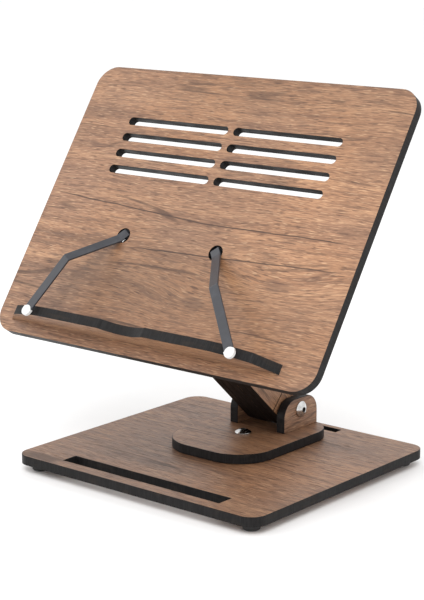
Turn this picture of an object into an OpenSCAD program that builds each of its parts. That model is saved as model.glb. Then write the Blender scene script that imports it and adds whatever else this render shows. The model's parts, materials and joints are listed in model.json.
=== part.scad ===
// Swivelling, tilting book stand for the Quran, in 8 mm laminated board.
// Millimetres. +Z is up and the reader sits on the -Y side. The stand rests on the plane Z = 0.

/* [Boards] */
// Thickness of every board
board_t = 8; // [7:0.5:9]
// Number of boards glued side by side in the arm
arm_boards = 5; // [5:2:7]

/* [Base] */
// Width of the base plate
base_w = 252; // [230:1:280]
// Depth of the base plate
base_d = 231; // [210:1:260]
// Corner radius of the base plate
base_r = 14; // [6:1:24]
// Length of the front slot
front_slot_l = 164; // [120:1:200]
// Width of the front slot
front_slot_w = 14.7; // [8:0.1:20]
// Gap between the front edge and the front slot
front_slot_gap = 12.1; // [10:0.1:20]
// Length of the rear slot
rear_slot_l = 85; // [60:1:120]
// Width of the rear slot
rear_slot_w = 8.6; // [6:0.1:12]
// Gap between the rear edge and the rear slot
rear_slot_gap = 5.7; // [5:0.1:10]
// Diameter of a rubber foot
foot_d = 14; // [10:1:18]
// Height of a rubber foot
foot_h = 6.5; // [3:0.5:8]
// Distance from the plate's edges to the centre of a foot
foot_inset = 15; // [12:1:25]

/* [Turntable] */
// Width of the turntable plate
turn_w = 96; // [90:1:110]
// Distance from the swivel axis to the front edge
turn_front = 57; // [50:1:60]
// Distance from the swivel axis to the rear edge
turn_rear = 66; // [64:1:70]
// Radius of the front corners
turn_front_r = 34; // [20:1:40]
// Radius of the rear corners
turn_rear_r = 25; // [4:1:25]
// Distance of the swivel axis behind the middle of the base
swivel_y = 28; // [20:1:30]
// Thickness of the glide washer under the turntable
glide_t = 0.4; // [0.3:0.1:1]
// Diameter of the glide washer
glide_d = 44; // [30:1:60]

/* [Hinges] */
// Length of an ear where it meets its plate
ear_l = 46; // [44:1:48]
// Height of an ear above its plate
ear_h = 27; // [26:0.5:30]
// Radius of an ear's top corners
ear_r = 15; // [8:1:20]
// Length of the tenon under an ear
tenon_l = 26; // [16:1:34]
// Distance from the rear edge of the turntable to the ears
ear_setback = 1.5; // [1:0.5:3]
// Height of a tilt axis above its plate
pivot_h = 16.75; // [16.75:0.05:17]
// Gap between the arm and an ear, filled by a washer
washer_gap = 1; // [0.6:0.1:1.5]
// Diameter of a tilt washer
washer_d = 20; // [16:1:24]

/* [Arm] */
// Distance between the two tilt axes
arm_len = 151; // [140:1:160]
// Depth of the arm, and the diameter of its round ends
arm_depth = 32.5; // [30:0.5:32.5]
// Slope of the arm above the horizontal
arm_angle = 42.5; // [40:0.5:60]
// Distance from a tilt axis to the joint line across the arm's cheeks
pad_len = 21.3; // [18:0.1:30]

/* [Panel] */
// Width of the panel
panel_w = 326; // [300:1:350]
// Height of the panel
panel_h = 249; // [235:1:270]
// Corner radius of the panel
panel_r = 18; // [10:1:30]
// Lean of the panel back from the vertical
lean = 33.9; // [20:0.1:45]
// Distance from the panel's lower edge up to the upper tilt axis
panel_drop = 57; // [50:1:60]
// Length of a slot in the panel
slot_l = 106.6; // [90:0.1:115]
// Height of a slot in the panel
slot_h = 7.1; // [5:0.1:9]
// Distance between the two columns of slots
slot_gap = 5.8; // [5:0.1:10]
// Distance from one row of slots to the next
slot_pitch = 14.9; // [12:0.1:16]
// Distance from the panel's upper edge to the first row
slot_top = 49.3; // [40:0.1:55]
// Width of the mounting plate behind the panel
mount_w = 96; // [90:1:110]
// Height of the mounting plate behind the panel
mount_h = 62; // [58:1:62]

/* [Ledge] */
// Height of the ledge's underside above the panel's lower edge
ledge_v = 10.4; // [8:0.1:14]
// Depth of the ledge in front of the panel
ledge_depth = 25; // [20:0.5:25]
// Length of the ledge where it meets the panel
ledge_len = 278; // [260:1:290]
// Sideways position of the ledge's middle
ledge_u = -7.5; // [-8:0.5:8]
// Depth of the ledge at its two ends
ledge_end_depth = 16.5; // [12:0.5:18]
// How far each end slants in from the panel to its front corner
ledge_slant = 16.5; // [6:0.5:18]
// Length of the sloping shoulder between an end and the straight front edge
ledge_shoulder = 29; // [20:0.5:36]
// Depth of the shallow dip in the middle of the front edge
dip_depth = 6; // [3:0.5:8]
// Length of the dip
dip_l = 46; // [30:1:60]

/* [Page holders] */
// Width of a strip
strip_w = 8; // [7:0.1:8]
// Thickness of a strip
strip_t = 1.6; // [1.2:0.1:2]
// Diameter of the hole that a strip hooks through
hook_hole_d = 13; // [13:0.1:14]
// How far the outer half of a strip stands in front of the panel
strip_out = 28; // [27.8:0.1:32]
// Width of a strip's end cap
cap_w = 8.8; // [8.8:0.1:12]
// Length of an end cap
cap_l = 6.8; // [6.6:0.1:10]
// Thickness of an end cap
cap_t = 2.6; // [2.6:0.1:4.2]

/* [Hardware] */
// Diameter of a domed bolt head
head_d = 14; // [12:0.5:16]
// Height of a domed bolt head
head_h = 3.6; // [2.5:0.1:4]
// Diameter of a bolt's shank
bolt_d = 6; // [5:0.5:6]
// Outside diameter of a sleeve nut
sleeve_d = 8; // [7.5:0.5:9]
// Across flats of the hexagon socket
hex_af = 4; // [3:0.5:4]

/* [Hidden] */
$fn = 64;
run_gap = 0.05;                 // radial clearance of every turning fit
skin_gap = 0.1;                 // play beside a washer or under a bolt head
seam_gap = 0.15;                // the open joint line across the arm's cheeks
through = 1;                    // how far a cutter runs past a face

base_top = foot_h + board_t;
turn_top = base_top + glide_t + board_t;
ear_y = swivel_y + turn_rear - ear_setback - ear_l / 2;
arm_w = arm_boards * board_t;
ear_in = arm_w / 2 + washer_gap;
ear_out = ear_in + board_t;

low_pivot = [0, ear_y, turn_top + pivot_h];
up_pivot = low_pivot + arm_len * [0, -cos(arm_angle), sin(arm_angle)];
panel_up = [0, sin(lean), cos(lean)];
panel_out = [0, -cos(lean), sin(lean)];
stack = pivot_h + 2 * board_t;  // from the upper tilt axis to the panel's front face
panel_foot = up_pivot + stack * panel_out - panel_drop * panel_up;

slot_rows = 4;
ledge_mid = ledge_v + board_t / 2;
ledge_screw_x = [-95, -45, 45, 95];
ledge_screw_d = 3.5;
ledge_screw_l = 28;
mount_screw_x = 34;
mount_screw_v = 20;
mount_screw_d = 4;
mount_screw_l = 13.5;
screw_head_d = 7.6;
screw_head_h = 2.4;

// Each page holder: side, hole, splay and length of the inner half, splay and length of the outer half.
// A length is measured along the panel, and a splay is the angle outwards from straight down.
left_holder = [-1, [-65.5, 98], [31.2, 42.2], [20.6, 52.9]];
right_holder = [1, [32.3, 95.6], [43.3, 49.7], [37.9, 60.7]];
hook_reach = 4;                 // half the run of the hook's tongue across its hole
tongue_drop = 0.6;              // depth of the tongue's far end behind the panel's front face
foot_len = 12;                  // length of the foot that turns back down behind the panel
cap_r = cap_w / 2;

// The middle of the whole outline, front to back, is the middle of the frame.
cap_low_v = right_holder[1][1] - right_holder[2][1] * cos(right_holder[2][0])
    - right_holder[3][1] * cos(right_holder[3][0]) - cap_r;
front_y = panel_foot[1] + cap_low_v * sin(lean) - (strip_out + cap_t / 2) * cos(lean);
mid_y = (min(front_y, -base_d / 2) + base_d / 2) / 2;

laminate = [0.52, 0.37, 0.27];
edge_black = [0.16, 0.15, 0.14];
steel = [0.75, 0.75, 0.76];
strip_black = [0.2, 0.2, 0.22];

// ---- Frames -------------------------------------------------------------------------------

// The middle of the base plate, at the level that the stand rests on.
module on_base() translate([0, -mid_y, 0]) children();

// The surface of the turntable, under the lower tilt axis.
module on_turntable() on_base() translate([0, ear_y, turn_top]) children();

// The back of the mounting plate, under the upper tilt axis, with +Z away from the panel.
module on_mount_plate() on_panel() translate([0, panel_drop, -2 * board_t]) rotate([180, 0, 0]) children();

// The arm: the lower tilt axis at the middle, and +Y along the arm to the upper one.
module on_arm() on_base() translate(low_pivot) rotate([180 - arm_angle, 0, 0]) children();

// The panel: the middle of its lower front edge, with +Y up the panel and +Z out of its front face.
module on_panel() on_base() translate(panel_foot) rotate([90 - lean, 0, 0]) children();

// ---- Shapes -------------------------------------------------------------------------------

// A rectangle about the origin with one radius at its four corners.
module round_rect(w, h, r) {
    square([w, h - 2 * r], center = true);
    square([w - 2 * r, h], center = true);
    for (x = [-1, 1], y = [-1, 1])
        translate([x * (w / 2 - r), y * (h / 2 - r)]) circle(r);
}

// A slot about the origin with round ends.
module round_slot(l, h) {
    square([l - h, h], center = true);
    for (x = [-1, 1]) translate([x * (l - h) / 2, 0]) circle(h / 2);
}

// A bar along X, from x0 to x1.
module bar_x(d, x0, x1) translate([x0, 0, 0]) rotate([0, 90, 0]) cylinder(d = d, h = x1 - x0);

// The points of an arc.
function arc(c, r, a0, a1, n = 10) = [for (i = [0:n]) c + r * [cos(a0 + (a1 - a0) * i / n), sin(a0 + (a1 - a0) * i / n)]];

// The points of an arc of radius r in place of the corner b between the points a and c.
function eased(a, b, c, r) =
    let (p = (a - b) / norm(a - b), q = (c - b) / norm(c - b), m = (p + q) / norm(p + q),
         half = acos(p * q) / 2, middle = atan2(-m[1], -m[0]), side = sign(m[1] * p[0] - m[0] * p[1]))
    arc(b + m * r / sin(half), r, middle + side * (90 - half), middle - side * (90 - half));

// A domed head with a hexagon socket, its flat side on Z = 0.
module domed_head(d, h) {
    rim = 0.9;
    rise = h - rim;
    ball = (pow(d / 2, 2) + pow(rise, 2)) / (2 * rise);
    half_angle = asin(d / 2 / ball);
    difference() {
        rotate_extrude()
            polygon(concat([[0, 0], [d / 2, 0]], arc([0, h - ball], ball, 90 - half_angle, 90)));
        translate([0, 0, h - 2.2]) cylinder(d = hex_af / cos(30), h = 3, $fn = 6);
    }
}

// A joint bolt along +Z: head above Z = 0 and shank below it.
module joint_bolt(shank) {
    domed_head(head_d, head_h);
    translate([0, 0, -shank]) cylinder(d = bolt_d, h = shank);
}

// A sleeve nut along +Z: flat or domed flange below Z = 0 and sleeve above it.
module sleeve_nut(reach, flange_h, domed = true) {
    difference() {
        union() {
            if (domed) mirror([0, 0, 1]) domed_head(head_d, flange_h);
            else translate([0, 0, -flange_h]) cylinder(d = head_d + 3, h = flange_h);
            cylinder(d = sleeve_d, h = reach);
        }
        translate([0, 0, 2]) cylinder(d = bolt_d, h = reach);
        if (!domed) translate([0, 0, -flange_h - through]) cylinder(d = hex_af / cos(30), h = 2.5, $fn = 6);
    }
}

// A countersunk wood screw along -Z with its head flush with Z = 0.
module wood_screw(d, l) {
    difference() {
        union() {
            translate([0, 0, -screw_head_h]) cylinder(d1 = d, d2 = screw_head_d, h = screw_head_h);
            translate([0, 0, -l]) cylinder(d = d, h = l);
        }
        translate([0, 0, -1.2])
            for (a = [0, 90]) rotate(a) translate([-2, -0.4, 0]) cube([4, 0.8, 2]);
    }
}

// The room that a countersunk screw takes in the boards.
module screw_room(d, l) {
    translate([0, 0, -screw_head_h]) cylinder(d1 = d, d2 = screw_head_d, h = screw_head_h);
    translate([0, 0, -l]) cylinder(d = d, h = l);
}

// ---- Base ---------------------------------------------------------------------------------

module base_plate() color(laminate) on_base() difference() {
    translate([0, 0, foot_h]) linear_extrude(board_t) round_rect(base_w, base_d, base_r);
    translate([-front_slot_l / 2, -base_d / 2 + front_slot_gap, foot_h - through])
        cube([front_slot_l, front_slot_w, board_t + 2 * through]);
    translate([-rear_slot_l / 2, base_d / 2 - rear_slot_gap - rear_slot_w, foot_h - through])
        cube([rear_slot_l, rear_slot_w, board_t + 2 * through]);
    translate([0, swivel_y, foot_h - through])
        cylinder(d = sleeve_d, h = board_t + 2 * through);
}

module rubber_feet() color([0.07, 0.07, 0.07]) on_base()
    for (x = [-1, 1], y = [-1, 1])
        translate([x * (base_w / 2 - foot_inset), y * (base_d / 2 - foot_inset), 0]) {
            cylinder(d1 = foot_d - 1, d2 = foot_d, h = 1);
            translate([0, 0, 1]) cylinder(d = foot_d, h = foot_h - 1);
        }

module swivel_bolt() color(steel) on_base()
    translate([0, swivel_y, turn_top + skin_gap]) joint_bolt(turn_top - foot_h - 3);

module swivel_sleeve_nut() color(steel) on_base()
    translate([0, swivel_y, foot_h]) sleeve_nut(turn_top - foot_h - 1, 1.8, false);

module swivel_washer() color([0.9, 0.9, 0.88]) on_base()
    translate([0, swivel_y, base_top]) difference() {
        cylinder(d = glide_d, h = glide_t - skin_gap / 2);
        translate([0, 0, -through]) cylinder(d = sleeve_d + 2 * run_gap, h = glide_t + 2 * through);
    }

// ---- Turntable and ears -------------------------------------------------------------------

module turntable_outline() {
    half = turn_w / 2;
    polygon(concat(
        arc([half - turn_rear_r, turn_rear - turn_rear_r], turn_rear_r, 0, 90),
        arc([turn_rear_r - half, turn_rear - turn_rear_r], turn_rear_r, 90, 180),
        arc([turn_front_r - half, turn_front_r - turn_front], turn_front_r, 180, 270, 24),
        arc([half - turn_front_r, turn_front_r - turn_front], turn_front_r, 270, 360, 24)));
}

// The two slots that take the ears' tenons, cut down through a plate whose surface is Z = 0.
module tenon_slots()
    for (s = [-1, 1])
        translate([s * (ear_in + board_t / 2) - board_t / 2, -tenon_l / 2, -board_t - through])
            cube([board_t, tenon_l, board_t + 2 * through]);

module turntable_plate() color(laminate) difference() {
    on_base() translate([0, swivel_y, turn_top - board_t]) difference() {
        linear_extrude(board_t) turntable_outline();
        translate([0, 0, -through]) cylinder(d = sleeve_d + 2 * run_gap, h = board_t + 2 * through);
    }
    on_turntable() tenon_slots();
}

module ear_outline() {
    intersection() {
        round_rect(ear_l, 2 * ear_h, ear_r);
        translate([-ear_l / 2, 0]) square([ear_l, ear_h]);
    }
    translate([-tenon_l / 2, -board_t]) square([tenon_l, board_t + through]);
}

// One ear, standing on a plate's surface.
module ear(side) difference() {
    translate([side * (ear_in + board_t / 2) - board_t / 2, 0, 0])
        rotate([90, 0, 90]) linear_extrude(board_t) ear_outline();
    translate([0, 0, pivot_h])
        bar_x(sleeve_d, side * (ear_in + board_t / 2) - board_t, side * (ear_in + board_t / 2) + board_t);
}

module lower_ear_left() color(laminate) on_turntable() ear(-1);
module lower_ear_right() color(laminate) on_turntable() ear(1);

// A tilt bolt along X, its head outside the right ear, and its sleeve nut from the left.
module tilt_bolt() translate([ear_out, 0, pivot_h]) rotate([0, 90, 0]) joint_bolt(2 * ear_out - 6);
module tilt_sleeve() translate([-ear_out, 0, pivot_h]) rotate([0, 90, 0]) sleeve_nut(2 * ear_out - 1, head_h);

module lower_tilt_bolt() color(steel) on_turntable() tilt_bolt();
module lower_tilt_sleeve_nut() color(steel) on_turntable() tilt_sleeve();

// ---- Arm ----------------------------------------------------------------------------------

// The two washers on the arm's flanks at one tilt axis.
module tilt_washers()
    for (s = [0, 1]) mirror([s, 0, 0]) difference() {
        bar_x(washer_d, arm_w / 2, arm_w / 2 + washer_gap - skin_gap);
        bar_x(sleeve_d + 2 * run_gap, arm_w / 2 - through, ear_in);
    }

module lower_tilt_washers() color([0.15, 0.15, 0.15]) on_arm() tilt_washers();
module upper_tilt_washers() color([0.15, 0.15, 0.15]) on_arm() translate([0, arm_len, 0]) tilt_washers();

// The arm's side outline: Y is along the arm.
module arm_outline() {
    translate([0, -arm_depth / 2]) square([arm_len, arm_depth]);
    for (y = [0, arm_len]) translate([y, 0]) circle(arm_depth / 2);
}

// One board of the arm, between two distances along it.
module arm_board(i, from = -arm_depth, to = arm_len + arm_depth) {
    x0 = -arm_w / 2 + i * board_t;
    intersection() {
        translate([x0, 0, 0]) rotate([90, 0, 90]) linear_extrude(board_t) difference() {
            arm_outline();
            for (y = [0, arm_len]) translate([y, 0]) circle(d = sleeve_d + 2 * run_gap);
        }
        translate([x0, from, -arm_depth]) cube([board_t, to - from, 2 * arm_depth]);
    }
}

module arm_core_left() color(edge_black) on_arm() arm_board(1);
module arm_core_centre() color(edge_black) on_arm() for (i = [2:arm_boards - 3]) arm_board(i);
module arm_core_right() color(edge_black) on_arm() arm_board(arm_boards - 2);

// A cheek covers the arm between its two joint lines, and a pad covers each round end.
module cheek(i) arm_board(i, pad_len + seam_gap / 2, arm_len - pad_len - seam_gap / 2);
module arm_cheek_left() color(laminate) on_arm() cheek(0);
module arm_cheek_right() color(laminate) on_arm() cheek(arm_boards - 1);
module arm_pads_lower() color(laminate) on_arm()
    for (i = [0, arm_boards - 1]) arm_board(i, -arm_depth, pad_len - seam_gap / 2);
module arm_pads_upper() color(laminate) on_arm()
    for (i = [0, arm_boards - 1]) arm_board(i, arm_len - pad_len + seam_gap / 2, arm_len + arm_depth);

// ---- Panel --------------------------------------------------------------------------------

module panel_slots()
    for (row = [0:slot_rows - 1], s = [-1, 1])
        translate([s * (slot_l + slot_gap) / 2, panel_h - slot_top - row * slot_pitch]) round_slot(slot_l, slot_h);

module panel() color(laminate) on_panel() difference() {
    translate([0, 0, -board_t]) linear_extrude(board_t) difference() {
        translate([0, panel_h / 2]) round_rect(panel_w, panel_h, panel_r);
        panel_slots();
        for (h = [left_holder, right_holder]) translate(h[1]) circle(d = hook_hole_d);
    }
    ledge_screw_rooms();
    mount_screw_rooms();
}

// Screws run forwards from the back of the panel into the ledge.
module at_ledge_screws()
    for (x = ledge_screw_x) translate([ledge_u + x, ledge_mid, -board_t]) rotate([180, 0, 0]) children();
module ledge_screw_rooms() at_ledge_screws() screw_room(ledge_screw_d, ledge_screw_l);
module ledge_screws() color(steel) on_panel() at_ledge_screws() wood_screw(ledge_screw_d, ledge_screw_l);

// Screws run forwards through the mounting plate into the panel.
module at_mount_screws()
    for (x = [-1, 1], v = [-1, 1])
        translate([x * mount_screw_x, panel_drop + v * mount_screw_v, -2 * board_t]) rotate([180, 0, 0]) children();
module mount_screw_rooms() at_mount_screws() screw_room(mount_screw_d, mount_screw_l);
module mount_plate_screws() color(steel) on_panel() at_mount_screws() wood_screw(mount_screw_d, mount_screw_l);

module mount_plate() color(laminate) difference() {
    on_panel() difference() {
        translate([0, panel_drop, -2 * board_t]) linear_extrude(board_t) round_rect(mount_w, mount_h, turn_rear_r);
        mount_screw_rooms();
    }
    on_mount_plate() tenon_slots();
}

module upper_ear_left() color(laminate) on_mount_plate() ear(-1);
module upper_ear_right() color(laminate) on_mount_plate() ear(1);
module upper_tilt_bolt() color(steel) on_mount_plate() tilt_bolt();
module upper_tilt_sleeve_nut() color(steel) on_mount_plate() tilt_sleeve();

// The ledge seen along the panel: X is sideways and Y is out from the panel.
module ledge_outline() {
    end = [ledge_len / 2, 0];
    front_corner = [ledge_len / 2 - ledge_slant, ledge_end_depth];
    shoulder = [front_corner[0] - ledge_shoulder, ledge_depth];
    right = concat([end], eased(end, front_corner, shoulder, 3), eased(front_corner, shoulder, [0, ledge_depth], 60));
    dip_r = (pow(dip_l / 2, 2) + pow(dip_depth, 2)) / (2 * dip_depth);
    difference() {
        polygon(concat(right, [for (i = [len(right) - 1:-1:0]) [-right[i][0], right[i][1]]]));
        translate([0, ledge_depth - dip_depth + dip_r]) circle(dip_r, $fn = 128);
    }
}

module ledge() color(edge_black) on_panel() difference() {
    translate([ledge_u, ledge_v + board_t, 0]) rotate([90, 0, 0]) linear_extrude(board_t) ledge_outline();
    ledge_screw_rooms();
}

// ---- Page holders -------------------------------------------------------------------------

// The unit direction of one leg of a bent strip, and the side normal at one of its points.
function leg(p, i) = (p[i + 1] - p[i]) / norm(p[i + 1] - p[i]);
function side_of(d) = [-d[1], d[0]];
function corner(p, i) =
    let (a = leg(p, max(i - 1, 0)), b = leg(p, min(i, len(p) - 2)), m = side_of(a) + side_of(b))
    2 * m / (m * m);

// The outline of a strip of thickness t bent along the points p, with mitred folds.
function bent_strip(p, t) = concat(
    [for (i = [0:len(p) - 1]) p[i] + corner(p, i) * t / 2],
    [for (i = [len(p) - 1:-1:0]) p[i] - corner(p, i) * t / 2]);

// Places its children at a holder's hole, with +X along the strip's inner half.
module at_hole(h) translate(h[1]) rotate(h[0] * h[2][0] - 90) children();

// Places its children at the bend between the two halves, with +X along the outer half.
module at_bend(h) at_hole(h) translate([h[2][1], 0, strip_out]) rotate(h[0] * (h[3][0] - h[2][0])) children();

// A strip: a foot behind the panel, a leg through the hole, a tongue across it, a rising half and an outer half.
module page_holder(h) {
    back = -board_t - strip_t / 2 - 0.2;
    front = strip_t / 2 + 0.1;
    line = [[foot_len - hook_reach, back], [-hook_reach, back], [-hook_reach, -tongue_drop],
            [hook_reach, front], [h[2][1], strip_out]];
    difference() {
        union() {
            at_hole(h) translate([0, strip_w / 2, 0]) rotate([90, 0, 0])
                linear_extrude(strip_w) polygon(bent_strip(line, strip_t));
            at_bend(h) translate([0, 0, -strip_t / 2]) cylinder(d = strip_w, h = strip_t);
            at_bend(h) translate([0, -strip_w / 2, -strip_t / 2]) cube([h[3][1], strip_w, strip_t]);
        }
        at_bend(h) translate([0, 0, strip_t / 2]) cylinder(d = 2 * strip_w, h = strip_w);
    }
}

// The cap: a block with a round end, pushed over the end of the strip.
module page_holder_tip(h) at_bend(h) translate([h[3][1], 0, -cap_t / 2]) difference() {
    union() {
        cylinder(d = cap_w, h = cap_t);
        translate([cap_r - cap_l, -cap_r, 0]) cube([cap_l - cap_r, cap_w, cap_t]);
    }
    translate([-cap_l, -strip_w / 2, (cap_t - strip_t) / 2]) cube([cap_l, strip_w, strip_t]);
}

module page_holder_left() color(strip_black) on_panel() page_holder(left_holder);
module page_holder_tip_left() color([0.93, 0.93, 0.93]) on_panel() page_holder_tip(left_holder);
module page_holder_right() color(strip_black) on_panel() page_holder(right_holder);
module page_holder_tip_right() color([0.93, 0.93, 0.93]) on_panel() page_holder_tip(right_holder);

base_plate();
rubber_feet();
swivel_bolt();
swivel_sleeve_nut();
swivel_washer();
turntable_plate();
lower_ear_left();
lower_ear_right();
lower_tilt_bolt();
lower_tilt_sleeve_nut();
lower_tilt_washers();
arm_core_left();
arm_core_centre();
arm_core_right();
arm_cheek_left();
arm_cheek_right();
arm_pads_lower();
arm_pads_upper();
upper_tilt_washers();
panel();
mount_plate();
mount_plate_screws();
upper_ear_left();
upper_ear_right();
upper_tilt_bolt();
upper_tilt_sleeve_nut();
ledge();
ledge_screws();
page_holder_left();
page_holder_tip_left();
page_holder_right();
page_holder_tip_right();
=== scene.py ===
"""Looks of the swivelling, tilting stand for the Quran.

Each board, piece of hardware and page holder gets its finished mesh and material, and the studio comes last.
"""
import json
import math
import bmesh
import bpy
from mathutils import Matrix, Vector


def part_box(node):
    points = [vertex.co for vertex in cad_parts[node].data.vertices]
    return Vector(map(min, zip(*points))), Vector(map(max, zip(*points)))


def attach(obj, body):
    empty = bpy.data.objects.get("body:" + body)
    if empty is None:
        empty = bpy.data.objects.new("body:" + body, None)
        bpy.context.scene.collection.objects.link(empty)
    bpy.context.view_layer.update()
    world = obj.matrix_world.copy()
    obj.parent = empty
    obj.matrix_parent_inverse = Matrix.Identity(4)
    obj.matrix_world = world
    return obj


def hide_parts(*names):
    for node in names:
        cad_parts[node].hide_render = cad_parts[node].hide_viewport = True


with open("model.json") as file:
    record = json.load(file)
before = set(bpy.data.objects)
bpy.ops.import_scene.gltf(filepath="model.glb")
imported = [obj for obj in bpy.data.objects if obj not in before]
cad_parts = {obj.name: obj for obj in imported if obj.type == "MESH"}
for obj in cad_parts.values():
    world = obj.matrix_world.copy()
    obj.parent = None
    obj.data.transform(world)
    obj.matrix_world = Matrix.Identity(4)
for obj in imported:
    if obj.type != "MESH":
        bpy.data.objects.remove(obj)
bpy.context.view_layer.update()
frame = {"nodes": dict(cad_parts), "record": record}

# ---- What the frame says ------------------------------------------------------------------

RECORD = frame["record"]
JOINTS = {joint["name"]: joint for joint in RECORD["behaviour"]["joints"]}
BODY_OF = {node: body for body, nodes in RECORD["behaviour"]["bodies"].items() for node in nodes}

X, Y, Z = (Vector(axis) for axis in ((1, 0, 0), (0, 1, 0), (0, 0, 1)))
PANEL_OUT = Vector(JOINTS["left_holder_swing"]["axis"])     # a page holder swings in the panel's plane
PANEL_UP = PANEL_OUT.cross(X)
LOW_PIVOT = Vector(JOINTS["arm_tilt"]["pos_m"])
HIGH_PIVOT = Vector(JOINTS["panel_tilt"]["pos_m"])
ARM_ALONG = (HIGH_PIVOT - LOW_PIVOT).normalized()
PANEL_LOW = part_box("panel")[0]
BOARD = 0.008                       # thickness of every board
PANEL_FOOT = Vector((0, PANEL_LOW.y, PANEL_LOW.z + BOARD * PANEL_OUT.z))   # middle of its lower front edge


def on_panel(u, v):
    """The point of the panel's front face u to the right of its middle and v up from its lower edge."""
    return PANEL_FOOT + u * X + v * PANEL_UP


# ---- Materials ----------------------------------------------------------------------------


class Graph:
    """The nodes of one material. Its methods take numbers, colours or sockets, and return sockets."""

    def __init__(self, name):
        self.material = bpy.data.materials.new(name)
        self.material.use_nodes = True
        self.tree = self.material.node_tree
        self.tree.nodes.clear()

    def add(self, kind, inputs=None, **settings):
        node = self.tree.nodes.new("ShaderNode" + kind)
        for key, value in settings.items():
            setattr(node, key, value)
        for key, value in (inputs or {}).items():
            self.feed(node.inputs[key], value)
        return node

    def feed(self, socket, value):
        if isinstance(value, bpy.types.NodeSocket):
            self.tree.links.new(value, socket)
        elif socket.type == "RGBA" and len(value) == 3:
            socket.default_value = (*value, 1.0)
        else:
            socket.default_value = value

    def grain(self):
        """The mesh's grain coordinates: along the grain, across it and through the board, in metres."""
        return self.add("Attribute", attribute_name="grain").outputs["Vector"]

    def place(self):
        """The piece's own coordinates, in metres."""
        return self.add("TexCoord").outputs["Object"]

    def math(self, operation, first, second=0.0):
        return self.add("Math", {0: first, 1: second}, operation=operation).outputs[0]

    def plus(self, first, second):
        return self.math("ADD", first, second)

    def minus(self, first, second):
        return self.math("SUBTRACT", first, second)

    def times(self, first, second):
        return self.math("MULTIPLY", first, second)

    def larger(self, first, second):
        return self.math("MAXIMUM", first, second)

    def between(self, value, low, high, to_low=0.0, to_high=1.0):
        """Eases from to_low to to_high as value goes from low to high."""
        inputs = {"Value": value, "From Min": low, "From Max": high, "To Min": to_low, "To Max": to_high}
        return self.add("MapRange", inputs, interpolation_type="SMOOTHSTEP").outputs[0]

    def stretch(self, vector, scale, location=(0, 0, 0)):
        return self.add("Mapping", {"Vector": vector, "Scale": scale, "Location": location}).outputs[0]

    def noise(self, vector, detail=2.0, roughness=0.5):
        inputs = {"Vector": vector, "Scale": 1.0, "Detail": detail, "Roughness": roughness}
        return self.add("TexNoise", inputs).outputs["Fac"]

    def mix(self, factor, first, second, blend="MIX"):
        """Mixes two colours. The node's colour sockets are inputs 6 and 7 and output 2."""
        node = self.add("Mix", {0: factor, 6: first, 7: second}, data_type="RGBA", blend_type=blend)
        return node.outputs[2]

    def scaled(self, colour, shade):
        """A colour made darker or lighter by a number."""
        return self.mix(1.0, colour, (shade, shade, shade), "MULTIPLY")

    def blob(self, x, y, middle_x, middle_y, length, height):
        """A soft oval spot: 1 at its middle and falling to 0 round it."""
        along = self.math("DIVIDE", self.minus(x, middle_x), length)
        across = self.math("DIVIDE", self.minus(y, middle_y), height)
        far = self.plus(self.math("POWER", across, 2.0), self.math("POWER", along, 2.0))
        return self.math("EXPONENT", self.times(far, -1.0))

    def ramp(self, factor, stops):
        """A colour from (position, colour) stops."""
        node = self.add("ValToRGB", {"Fac": factor})
        elements = node.color_ramp.elements
        elements[0].position, elements[0].color = stops[0][0], (*stops[0][1], 1)
        elements[1].position, elements[1].color = stops[-1][0], (*stops[-1][1], 1)
        for position, colour in stops[1:-1]:
            elements.new(position).color = (*colour, 1)
        return node.outputs["Color"]

    def bump(self, height, distance, strength):
        return self.add("Bump", {"Height": height, "Distance": distance, "Strength": strength}).outputs[0]

    def surface(self, **inputs):
        """Ends the material with a Principled shader; an underscore in a name stands for a space."""
        named = {key.replace("_", " "): value for key, value in inputs.items()}
        shader = self.add("BsdfPrincipled", named)
        output = self.add("OutputMaterial")
        self.tree.links.new(shader.outputs[0], output.inputs[0])
        return self.material


# Walnut: its growth rings from dark to pale, as (position, colour), and what its patterns mix in.
RING_STOPS = ((0.30, (0.155, 0.076, 0.040)), (0.47, (0.290, 0.147, 0.078)), (0.68, (0.44, 0.240, 0.128)))
GREYED = (0.185, 0.108, 0.072)
WARM = (0.42, 0.200, 0.085)
FIBRE_SHADOW = (0.085, 0.036, 0.018)
STREAK_BROWN = (0.088, 0.040, 0.023)
GLINT_TAN = (0.60, 0.38, 0.22)
PORE_BROWN = (0.070, 0.031, 0.019)
CRACK_BROWN = (0.034, 0.014, 0.008)
KNOT_BROWN = (0.085, 0.042, 0.027)

# Two sets of hairlines, coarse and fine: the stretch of their noise, its shift, and how dark they are.
HAIRLINES = (((1.6, 26, 6), (2, 5, 3), 0.60), ((3.5, 60, 9), (7, 1, 5), 0.42))

# A long crack: how dark it is, how far it wanders, over what length its ends fade, and where its sides fade.
CRACK_STRENGTH, CRACK_WANDER, CRACK_FADE = 0.85, 0.004, 0.03
CRACK_INSIDE, CRACK_OUTSIDE = 0.0003, 0.0008


def waved_grain(g, axes, shifted, place, knots):
    """Grain coordinates that wave a little and flow round the knots, and a mask of the knots' eyes."""
    x, y, z = axes
    wave = g.minus(g.noise(g.stretch(shifted, (5, 14, 5))), 0.5)
    bent = g.plus(y, g.times(wave, 0.014))
    eyes = 0.0
    for knot_x, knot_y, length, height, push in knots:
        near = g.blob(x, y, knot_x, knot_y, length, height)
        bent = g.plus(bent, g.times(near, push))
        eyes = g.plus(eyes, g.between(near, 0.905, 1.0))
    flow = g.add("CombineXYZ", {"X": x, "Y": bent, "Z": z}).outputs[0]
    return g.stretch(flow, (1, 1, 1), place), eyes


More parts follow.
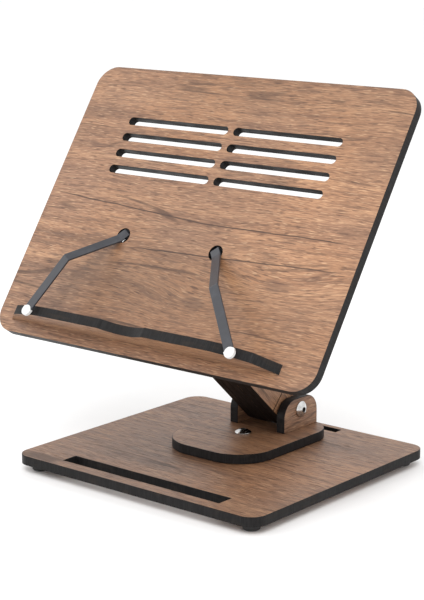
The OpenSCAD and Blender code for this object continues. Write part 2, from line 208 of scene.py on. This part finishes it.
def wood(g, flow, shifted):
    """The walnut's colour without its cracks, and its fibre and pores, which its surface follows too."""
    rings = g.noise(g.stretch(flow, (3, 95, 20)), 4.0, 0.62)
    fibre = g.noise(g.stretch(flow, (80, 1150, 200)), 2.0, 0.6)
    streak = g.noise(g.stretch(flow, (26, 380, 60)), 2.0, 0.55)
    dash = g.noise(g.stretch(flow, (95, 1150, 300), (3, 7, 1)), 1.0)
    glint = g.noise(g.stretch(flow, (100, 1200, 300), (9, 2, 5)), 1.0)
    patch = g.noise(g.stretch(shifted, (9, 17, 9)))
    warmth = g.noise(g.stretch(shifted, (7, 11, 7), (4, 4, 4)))

    colour = g.ramp(rings, RING_STOPS)
    colour = g.mix(g.between(patch, 0.35, 0.7, 0.0, 0.40), colour, GREYED)
    colour = g.mix(g.between(warmth, 0.4, 0.7, 0.0, 0.42), colour, WARM)
    colour = g.mix(g.between(fibre, 0.38, 0.62, 0.42, 0.0), colour, FIBRE_SHADOW)
    colour = g.mix(g.between(streak, 0.50, 0.68, 0.0, 0.52), colour, STREAK_BROWN)
    colour = g.mix(g.between(glint, 0.57, 0.70, 0.0, 0.40), colour, GLINT_TAN)
    pores = g.between(dash, 0.58, 0.68)
    colour = g.mix(g.times(pores, 0.66), colour, PORE_BROWN)
    return colour, fibre, pores


def hairlines(g, flow, shifted):
    """Hairline cracks along the grain. They follow the contours of stretched noises, and fade in and out."""
    lines = 0.0
    for scale, shift, strength in HAIRLINES:
        field = g.noise(g.stretch(flow, scale, shift), 1.0)
        line = g.between(g.math("ABSOLUTE", g.minus(field, 0.5)), 0.0035, 0.010, 1.0, 0.0)
        seen = g.between(g.noise(g.stretch(shifted, (14, 30, 10), shift), 1.0), 0.48, 0.58)
        lines = g.larger(lines, g.times(line, g.times(seen, strength)))
    return lines


def long_crack(g, own, x, y, crack):
    """One thin crack that wanders a little and fades at its ends."""
    level, slope, start, end = crack
    wander = g.minus(g.noise(g.stretch(own, (14, 0, 0)), 3.0, 0.55), 0.5)
    middle = g.plus(g.plus(g.times(x, slope), level), g.times(wander, CRACK_WANDER))
    off = g.math("ABSOLUTE", g.minus(y, middle))
    thin = g.between(off, CRACK_INSIDE, CRACK_OUTSIDE, 1.0, 0.0)
    begun = g.between(x, start, start + CRACK_FADE)
    not_over = g.between(x, end - CRACK_FADE, end, 1.0, 0.0)
    return g.times(g.times(thin, g.times(begun, not_over)), CRACK_STRENGTH)


def walnut(name, place=(0, 0, 0), shade=1.0, cracks=(), knots=(), tones=()):
    """Satin walnut laminate, whose grain runs along x, the first of the mesh's grain coordinates.

    place shifts the pattern, and shade scales its colour. A crack is (y where x is 0, slope, x from, x to), a
    knot is (x, y, length, height, how far it pushes the grain), and a tone is (x, y, length, height, shade).
    """
    g = Graph(name)
    own = g.grain()
    x, y, z = g.add("SeparateXYZ", {0: own}).outputs
    shifted = g.stretch(own, (1, 1, 1), place)
    flow, eyes = waved_grain(g, (x, y, z), shifted, place, knots)
    colour, fibre, pores = wood(g, flow, shifted)

    lines = hairlines(g, flow, shifted)
    for crack in cracks:
        lines = g.larger(lines, long_crack(g, own, x, y, crack))
    colour = g.mix(lines, colour, CRACK_BROWN)
    if knots:
        colour = g.mix(g.times(eyes, 0.45), colour, KNOT_BROWN)
    colour = g.scaled(colour, shade)
    for tone_x, tone_y, length, height, tone in tones:
        near = g.blob(x, y, tone_x, tone_y, length, height)
        colour = g.mix(near, colour, g.scaled(colour, tone))

    grooves = g.larger(pores, lines)
    height = g.minus(g.times(fibre, 0.5), grooves)
    rough = g.plus(g.between(fibre, 0.3, 0.7, 0.40, 0.50), g.times(grooves, 0.15))
    return g.surface(Base_Color=colour, Roughness=rough, Normal=g.bump(height, 0.00006, 0.7), IOR=1.5)


WORN_FILM = (0.046, 0.034, 0.026)


def board_edge(name, colour, gloss):
    """The charred cut edge of a board: dark, with fine marks across its thickness and a paler worn film."""
    g = Graph(name)
    own = g.grain()
    marks = g.noise(g.stretch(own, (900, 900, 110)), 2.0, 0.6)
    cloud = g.noise(g.stretch(own, (60, 60, 200)), 3.0)
    shade = g.mix(g.between(marks, 0.35, 0.7), [0.72 * c for c in colour], [1.35 * c for c in colour])
    shade = g.mix(g.between(cloud, 0.5, 0.75, 0.0, 0.3), shade, WORN_FILM)
    rough = g.between(cloud, 0.3, 0.7, 0.42, 0.60)
    bump = g.bump(marks, 0.00004, 0.5)
    return g.surface(Base_Color=shade, Roughness=rough, Normal=bump, IOR=1.45, Specular_IOR_Level=gloss)


def steel(name):
    """Nickel-plated steel: bright, with smudges and fine scratches."""
    g = Graph(name)
    own = g.place()
    smudge = g.noise(g.stretch(own, (160, 160, 160)), 3.0)
    scratch = g.noise(g.stretch(own, (300, 2600, 2600)), 2.0)
    tone = g.mix(g.between(smudge, 0.35, 0.7), (0.66, 0.66, 0.65), (0.50, 0.50, 0.49))
    rough = g.plus(g.between(smudge, 0.3, 0.7, 0.12, 0.24), g.between(scratch, 0.55, 0.75, 0.0, 0.12))
    bump = g.bump(scratch, 0.00002, 0.4)
    return g.surface(Base_Color=tone, Metallic=1.0, Roughness=rough, Normal=bump)


def strip_paint(name):
    """Black powder-coated strip: fine orange peel, with a little grey where hands have rubbed it."""
    g = Graph(name)
    own = g.place()
    peel = g.noise(g.stretch(own, (1300, 1300, 1300)), 2.0)
    rub = g.noise(g.stretch(own, (70, 70, 70)), 4.0, 0.6)
    tone = g.mix(g.between(rub, 0.4, 0.75), (0.023, 0.024, 0.030), (0.042, 0.044, 0.052))
    rough = g.between(rub, 0.3, 0.7, 0.28, 0.42)
    return g.surface(Base_Color=tone, Roughness=rough, Normal=g.bump(peel, 0.00003, 0.35), IOR=1.5)


def plastic(name, light, dark, rough, grain=900, depth=0.00004):
    """A moulded plastic or rubber between two tones, with a fine moulded grain."""
    g = Graph(name)
    own = g.place()
    fine = g.noise(g.stretch(own, (grain,) * 3), 2.0)
    cloud = g.noise(g.stretch(own, (120, 120, 120)), 3.0)
    tone = g.mix(g.between(cloud, 0.35, 0.7), light, dark)
    sheen = g.between(cloud, 0.3, 0.7, rough - 0.06, rough + 0.06)
    return g.surface(Base_Color=tone, Roughness=sheen, Normal=g.bump(fine, depth, 0.4), IOR=1.48)


# ---- Mesh tools ---------------------------------------------------------------------------

WELD_DISTANCE = 1e-6                # corners nearer than this are the same
FLAT_ANGLE = math.radians(0.3)      # faces that meet at less than this are one flat face
SHARP_ANGLE = math.radians(28)      # edges that turn by more than this are rounded
SHADE_ANGLE = math.radians(40)      # edges that turn by more than this stay crisp in the shading
BOARD_EASE, BOLT_EASE, SMALL_EASE = 0.0004, 0.00018, 0.00012
GLIDE_EASE, FOOT_EASE, CAP_EASE = 0.00008, 0.0010, 0.0005
SOCKET_RADIUS = 0.0024              # reaches just past the corners of a bolt's hexagon socket


def welded(node):
    """A bmesh of a CAD node with its split corners joined and each flat face whole."""
    mesh = bmesh.new()
    mesh.from_mesh(frame["nodes"][node].data)
    bmesh.ops.remove_doubles(mesh, verts=mesh.verts, dist=WELD_DISTANCE)
    bmesh.ops.dissolve_limit(mesh, angle_limit=FLAT_ANGLE, verts=mesh.verts, edges=mesh.edges)
    return mesh


def soften(mesh, width, segments=2):
    """Rounds a mesh's sharp edges."""
    shared = [edge for edge in mesh.edges if len(edge.link_faces) == 2]
    sharp = [edge for edge in shared if edge.calc_face_angle() > SHARP_ANGLE]
    bmesh.ops.bevel(mesh, geom=sharp, offset=width, segments=segments, profile=0.5, affect="EDGES",
                    clamp_overlap=True)


def make_piece(name, mesh, node, materials):
    """Turns a bmesh into a piece that stands for a CAD node and rides on that node's body."""
    data = bpy.data.meshes.new(name)
    mesh.to_mesh(data)
    mesh.free()
    for material in materials:
        data.materials.append(material)
    data.shade_smooth()
    data.set_sharp_from_angle(angle=SHADE_ANGLE)
    piece = bpy.data.objects.new(name, data)
    bpy.context.scene.collection.objects.link(piece)
    piece.modifiers.new("weighted", "WEIGHTED_NORMAL").keep_sharp = True
    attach(piece, BODY_OF[node])
    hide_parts(node)
    return piece


def board(node, grain, normal, face, edge, origin=Vector()):
    """A finished board: laminate on its faces and charred at its cut edges. Its grain starts at origin."""
    mesh = welded(node)
    soften(mesh, BOARD_EASE)
    for polygon in mesh.faces:
        on_face = abs(polygon.normal.dot(normal)) > 0.95
        polygon.material_index = 0 if on_face else 1
    piece = make_piece(node + "_board", mesh, node, (face, edge))
    across = normal.cross(grain)
    layer = piece.data.attributes.new("grain", "FLOAT_VECTOR", "POINT")
    for vertex, value in zip(piece.data.vertices, layer.data):
        value.vector = [(vertex.co - origin).dot(axis) for axis in (grain, across, normal)]


def hardware(node, material, width, segments=2):
    """A finished piece of hardware: the CAD shape with its sharp edges eased."""
    mesh = welded(node)
    soften(mesh, width, segments)
    make_piece(node + "_part", mesh, node, (material,))


def joint_bolt(node, joint, metal, socket_shade):
    """A bolt or sleeve nut on a joint's axis. Its socket or bore is painted dark inside, as painted shade."""
    centre, axis = Vector(JOINTS[joint]["pos_m"]), Vector(JOINTS[joint]["axis"])
    mesh = welded(node)
    soften(mesh, BOLT_EASE)
    # Faces inside the socket or bore get the near-black painted shade, standing in for the shade that falls
    # in the recess.
    for polygon in mesh.faces:
        offset = polygon.calc_center_median() - centre
        radius = (offset - axis * offset.dot(axis)).length
        polygon.material_index = 1 if radius < SOCKET_RADIUS else 0
    make_piece(node + "_part", mesh, node, (metal, socket_shade))


# ---- Boards -------------------------------------------------------------------------------

charred = board_edge("charred_edge", (0.0115, 0.0105, 0.0105), 0.17)
arm_edge = board_edge("arm_edge", (0.011, 0.008, 0.007), 0.12)

# What the photograph shows on the panel and the base, in the terms of walnut().
PANEL_CRACKS = (
    (0.1187, -0.062, -0.162, 0.03),     # from the left edge, falling a little to the middle
    (0.1182, 0.0, -0.02, 0.16),         # level, from the middle to the right edge
    (0.0908, 0.028, -0.06, 0.16),       # lower, rising a little to the right edge
)
PANEL_KNOTS = ((0.03, 0.052, 0.05, 0.016, 0.010), (0.10, 0.077, 0.06, 0.02, 0.009))
PANEL_TONES = (
    (-0.03, 0.060, 0.09, 0.035, 0.68),  # dark between the page holders
    (0.125, 0.125, 0.06, 0.05, 1.22),   # pale towards the right edge
    (0.02, 0.235, 0.12, 0.02, 0.84),    # darker along the top
    (-0.14, 0.130, 0.05, 0.06, 1.12),   # paler at the left edge
    (0.066, 0.162, 0.012, 0.004, 0.70),  # a small dark fleck by the right slots
)
BASE_TONES = (
    (-0.05, -0.06, 0.11, 0.07, 0.76),   # dark at the front left
    (0.07, -0.01, 0.06, 0.05, 1.22),    # pale right of the turntable
    (0.02, -0.105, 0.12, 0.02, 0.84),   # dark along the front edge
)

panel_walnut = walnut("panel_walnut", cracks=PANEL_CRACKS, knots=PANEL_KNOTS, tones=PANEL_TONES)
base_walnut = walnut("base_walnut", place=(0.7, 0.3, 0.0), shade=0.88, tones=BASE_TONES)
turntable_walnut = walnut("turntable_walnut", place=(1.9, 0.8, 0.0), shade=0.9)
ledge_walnut = walnut("ledge_walnut", place=(2.3, 1.7, 0.0), shade=0.95)
arm_walnut = walnut("arm_walnut", place=(3.1, 2.2, 0.0), shade=0.9)
mount_walnut = walnut("mount_walnut", place=(4.4, 0.4, 0.0))

board("base_plate", X, Z, base_walnut, charred)
board("turntable_plate", X, Z, turntable_walnut, charred)
board("panel", X, PANEL_OUT, panel_walnut, charred, PANEL_FOOT)
board("mount_plate", X, PANEL_OUT, mount_walnut, charred)
board("ledge", X, PANEL_UP, ledge_walnut, charred)
for side in ("left", "right"):
    board("lower_ear_" + side, Y, X, turntable_walnut, charred)
    board("upper_ear_" + side, PANEL_UP, X, mount_walnut, charred)
    board("arm_cheek_" + side, ARM_ALONG, X, arm_walnut, arm_edge)
    board("arm_core_" + side, ARM_ALONG, X, arm_walnut, arm_edge)
for node in ("arm_core_centre", "arm_pads_lower", "arm_pads_upper"):
    board(node, ARM_ALONG, X, arm_walnut, arm_edge)

# ---- Hardware -----------------------------------------------------------------------------

nickel = steel("nickel_plate")
black_rubber = plastic("black_rubber", (0.018, 0.018, 0.018), (0.030, 0.029, 0.028), 0.70, 600, 0.00008)
black_nylon = plastic("black_nylon", (0.022, 0.022, 0.023), (0.034, 0.034, 0.034), 0.48)
white_nylon = plastic("white_nylon", (0.80, 0.80, 0.78), (0.72, 0.72, 0.70), 0.45)
white_cap = plastic("white_cap", (0.66, 0.66, 0.65), (0.58, 0.58, 0.57), 0.32, 700, 0.00003)
# Painted shade: near-black paint for the recesses inside the bolts' sockets and the nuts' bores.
painted_socket_shade = plastic("painted_socket_shade", (0.030, 0.028, 0.026), (0.014, 0.013, 0.012), 0.55)

JOINT_OF_BOLT = {"swivel": "swivel", "lower_tilt": "arm_tilt", "upper_tilt": "panel_tilt"}
for name, joint in JOINT_OF_BOLT.items():
    joint_bolt(name + "_bolt", joint, nickel, painted_socket_shade)
    joint_bolt(name + "_sleeve_nut", joint, nickel, painted_socket_shade)
for node in ("mount_plate_screws", "ledge_screws"):
    hardware(node, nickel, SMALL_EASE)
for node in ("lower_tilt_washers", "upper_tilt_washers"):
    hardware(node, black_nylon, SMALL_EASE)
hardware("swivel_washer", white_nylon, GLIDE_EASE)
hardware("rubber_feet", black_rubber, FOOT_EASE, segments=4)

# ---- Page holders -------------------------------------------------------------------------

STRIP_WIDTH, STRIP_THICK, STRIP_OUT = 0.008, 0.0016, 0.028
STRIP_EASE = 0.00035                # radius of the strip's long edges
FOLD_RADIUS, FOLD_STEPS = 0.0016, 5
# A strip's reach to each side of its hole's middle, its tongue's depth there, and its foot's length.
HOOK_REACH, TONGUE_DROP, FOOT_LENGTH = 0.004, 0.0006, 0.012
BACK_GAP, FRONT_GAP = 0.0002, 0.0001    # between the strip and the panel's two faces

# Each strip's side and hole, then the angle from straight down and the length of its inner and outer half.
HOLDERS = {
    "left": (-1, (-0.0655, 0.098), (31.2, 0.0422), (20.6, 0.0529)),
    "right": (1, (0.0323, 0.0956), (43.3, 0.0497), (37.9, 0.0607)),
}


def rounded(points):
    """The points of a bent line with an arc in place of each inner corner."""
    line = [points[0]]
    for before, corner, after in zip(points, points[1:], points[2:]):
        inward, outward = (before - corner).normalized(), (after - corner).normalized()
        half = inward.angle(outward) / 2
        centre = corner + (inward + outward).normalized() * FOLD_RADIUS / math.sin(half)
        first = (corner + inward * FOLD_RADIUS / math.tan(half) - centre).normalized()
        last = (corner + outward * FOLD_RADIUS / math.tan(half) - centre).normalized()
        shares = [step / FOLD_STEPS for step in range(FOLD_STEPS + 1)]
        line += [centre + FOLD_RADIUS * first.slerp(last, share) for share in shares]
    return line + [points[-1]]


def strip_section(half):
    """The cross-section of a strip of that half width, its corners eased, as (across, out) pairs."""
    a, b = half - STRIP_EASE, STRIP_THICK / 2 - STRIP_EASE
    turn = [(math.cos(math.radians(angle)), math.sin(math.radians(angle))) for angle in (0, 30, 60, 90)]
    points = []
    for across, out, swap in ((1, 1, False), (-1, 1, True), (-1, -1, False), (1, -1, True)):
        corner = [(across * (a + STRIP_EASE * c), out * (b + STRIP_EASE * s)) for c, s in turn]
        points += reversed(corner) if swap else corner
    return points


def skin(stations):
    """A closed tube through stations, each (centre, across, out of its face, half width)."""
    mesh = bmesh.new()
    rings = []
    for centre, across, out, half in stations:
        rings.append([mesh.verts.new(centre + a * across + b * out) for a, b in strip_section(half)])
    for low, high in zip(rings, rings[1:]):
        for i in range(len(low)):
            j = (i + 1) % len(low)
            mesh.faces.new((low[i], low[j], high[j], high[i]))
    mesh.faces.new(reversed(rings[0]))
    mesh.faces.new(rings[-1])
    bmesh.ops.recalc_face_normals(mesh, faces=mesh.faces)
    return mesh


def swung_down(angle):
    """The direction down the panel, turned by an angle in its plane."""
    return Matrix.Rotation(math.radians(angle), 3, PANEL_OUT) @ -PANEL_UP


def middle_line(hole, down, inner, outer):
    """A strip's middle, with rounded folds, from its foot behind the panel to the start of its outer half."""
    back = -BOARD - STRIP_THICK / 2 - BACK_GAP
    front = STRIP_THICK / 2 + FRONT_GAP
    folds = ((FOOT_LENGTH - HOOK_REACH, back), (-HOOK_REACH, back), (-HOOK_REACH, -TONGUE_DROP),
             (HOOK_REACH, front), (inner, STRIP_OUT), (inner + outer, STRIP_OUT))
    return rounded([hole + s * down + w * PANEL_OUT for s, w in folds])[:-1]


def foot_nose(tip, down, across, out, half):
    """Stations that round a foot's end, from its tip, which keeps a little width, to its full width."""
    nose = []
    for turn in (math.radians(angle) for angle in (85, 70, 50, 25)):
        width = half * max(math.cos(turn), 0.15)
        nose.append((tip - down * half * (1 - math.sin(turn)), across, out, width))
    return nose + [(tip - down * half, across, out, half)]


def page_holder(name, holder, material):
    """One strip: a foot behind the panel, a tongue in its hole, a rising inner half and an outer half."""
    side, (hole_u, hole_v), (splay, inner), (end_splay, outer) = holder
    hole = on_panel(hole_u, hole_v)
    down, over = swung_down(side * splay), swung_down(side * end_splay)
    across, end_across = PANEL_OUT.cross(down), PANEL_OUT.cross(over)
    half = STRIP_WIDTH / 2

    line = middle_line(hole, down, inner, outer)
    stations = []
    for index, centre in enumerate(line):
        ahead = line[min(index + 1, len(line) - 1)] - line[max(index - 1, 0)]
        stations.append((centre, across, ahead.cross(across).normalized(), half))
    tip, _, out, _ = stations[0]
    stations = foot_nose(tip, down, across, out, half) + stations[1:]

    # The last fold is cut askew, so that the outer half leaves it at its own angle.
    bend = stations[-1][0]
    stations[-1] = (bend, across, PANEL_OUT, half / across.dot(end_across))
    reach = outer - (bend - hole - inner * down).dot(down)
    stations.append((bend + reach * over, end_across, PANEL_OUT, half))
    node = "page_holder_" + name
    make_piece(node + "_strip", skin(stations), node, (material,))


black_strip = strip_paint("black_strip")
for name, holder in HOLDERS.items():
    page_holder(name, holder, black_strip)
    hardware("page_holder_tip_" + name, white_cap, CAP_EASE, segments=3)

# ---- Studio -------------------------------------------------------------------------------

CAMERA_TARGET = Vector((0, -0.0101, 0.1441))
CAMERA_AZIMUTH, CAMERA_ELEVATION = math.radians(39.73), math.radians(12.68)
CAMERA_DISTANCE, CAMERA_LENS, SENSOR_WIDTH = 1.405, 104.56, 36

SURROUND_STRENGTH = 1.15
LIGHT_TARGET = Vector((0, 0, 0.12))
SOFTBOXES = {                       # place, side and power
    "key": (Vector((0.9, -1.5, 1.9)), 1.4, 30),
    "fill": (Vector((-1.8, -0.9, 1.2)), 1.6, 8),
}
FLOOR_REACH = 6.0                   # from the floor's middle to its sides


def aim(obj, target):
    """Turns a camera or light towards a point."""
    obj.rotation_mode = "QUATERNION"
    obj.rotation_quaternion = (target - obj.location).to_track_quat("-Z", "Y")


def add_camera():
    """The photograph's viewpoint."""
    data = bpy.data.cameras.new("camera")
    data.lens, data.sensor_width = CAMERA_LENS, SENSOR_WIDTH
    camera = bpy.data.objects.new("camera", data)
    level = math.cos(CAMERA_ELEVATION)
    right, ahead = math.sin(CAMERA_AZIMUTH), math.cos(CAMERA_AZIMUTH)
    back = Vector((right * level, -ahead * level, math.sin(CAMERA_ELEVATION)))
    camera.location = CAMERA_TARGET + CAMERA_DISTANCE * back
    aim(camera, CAMERA_TARGET)
    bpy.context.scene.collection.objects.link(camera)
    bpy.context.scene.camera = camera


def add_softbox(name, place, side, power):
    """A large square light pointed at the object."""
    data = bpy.data.lights.new(name, "AREA")
    data.shape, data.size, data.energy = "SQUARE", side, power
    light = bpy.data.objects.new(name, data)
    light.location = place
    aim(light, LIGHT_TARGET)
    bpy.context.scene.collection.objects.link(light)


def add_surround():
    """Even white light from all round."""
    world = bpy.data.worlds.new("surround")
    bpy.context.scene.world = world
    world.use_nodes = True
    background = world.node_tree.nodes["Background"]
    background.inputs["Color"].default_value = (1.0, 1.0, 1.0, 1.0)
    background.inputs["Strength"].default_value = SURROUND_STRENGTH


def floor_paper():
    """Matt white paper, very slightly uneven."""
    g = Graph("floor_paper")
    tone = g.mix(g.noise(g.stretch(g.place(), (30, 30, 30)), 3.0), (0.86, 0.86, 0.86), (0.89, 0.89, 0.89))
    return g.surface(Base_Color=tone, Roughness=0.9)


def add_floor():
    """A plain white floor, which isn't part of the object."""
    mesh = bmesh.new()
    bmesh.ops.create_grid(mesh, x_segments=1, y_segments=1, size=FLOOR_REACH)
    data = bpy.data.meshes.new("floor")
    mesh.to_mesh(data)
    mesh.free()
    data.materials.append(floor_paper())
    floor = bpy.data.objects.new("floor", data)
    bpy.context.scene.collection.objects.link(floor)


add_camera()
add_surround()
add_floor()
for name, (place, side, power) in SOFTBOXES.items():
    add_softbox(name, place, side, power)
bpy.context.scene.view_settings.view_transform = "Standard"
